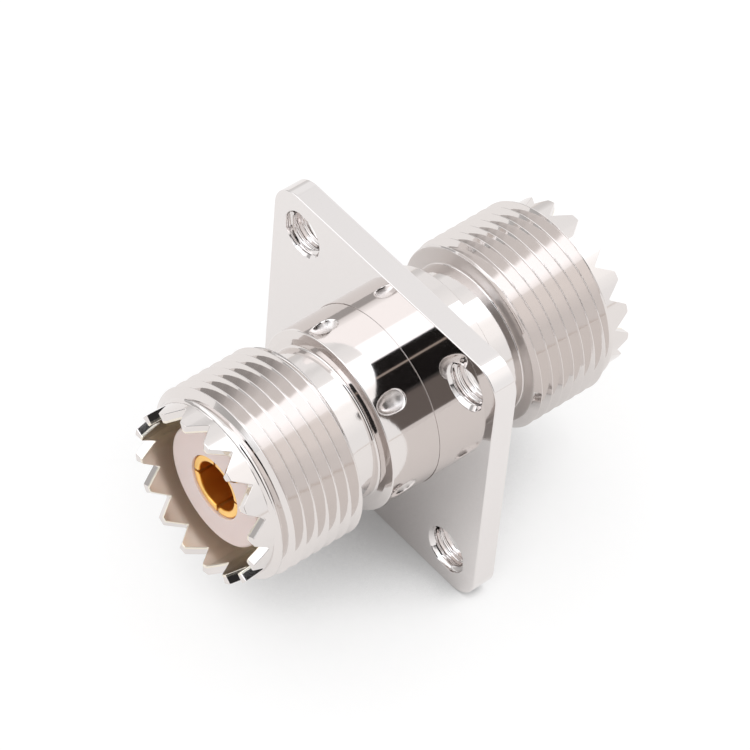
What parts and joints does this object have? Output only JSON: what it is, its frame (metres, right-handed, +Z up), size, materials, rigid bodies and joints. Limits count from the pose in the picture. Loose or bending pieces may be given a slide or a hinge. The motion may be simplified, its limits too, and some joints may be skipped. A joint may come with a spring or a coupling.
{
  "type": "uhf adapter",
  "caption": "Double-ended coaxial panel adapter: a square flange with tapped corner holes between threaded, castellated sockets, each with a white insulator and a slotted gold contact.",
  "frame": {"origin": "centre of the flange's rear face, on the connector axis, where the flange lies against a panel", "axes": "+Y along the connector axis from the front mouth to the rear mouth, +Z up along one side of the square flange, +X to the right seen from the front"},
  "size_m": [0.0254, 0.0364, 0.0254],
  "materials": {
    "nickel_plate": "bright nickel plate over turned brass",
    "polished_nickel": "mirror polished nickel plate over brass",
    "white_insulator": "smooth turned white fluoropolymer",
    "gold_plate": "gold plate over turned brass"
  },
  "bodies": {
    "root": {"front_shell": "nickel_plate", "rear_shell": "nickel_plate", "flange_plate": "polished_nickel", "front_insulator": "white_insulator", "rear_insulator": "white_insulator", "center_contact": "gold_plate"}
  },
  "joints": []
}
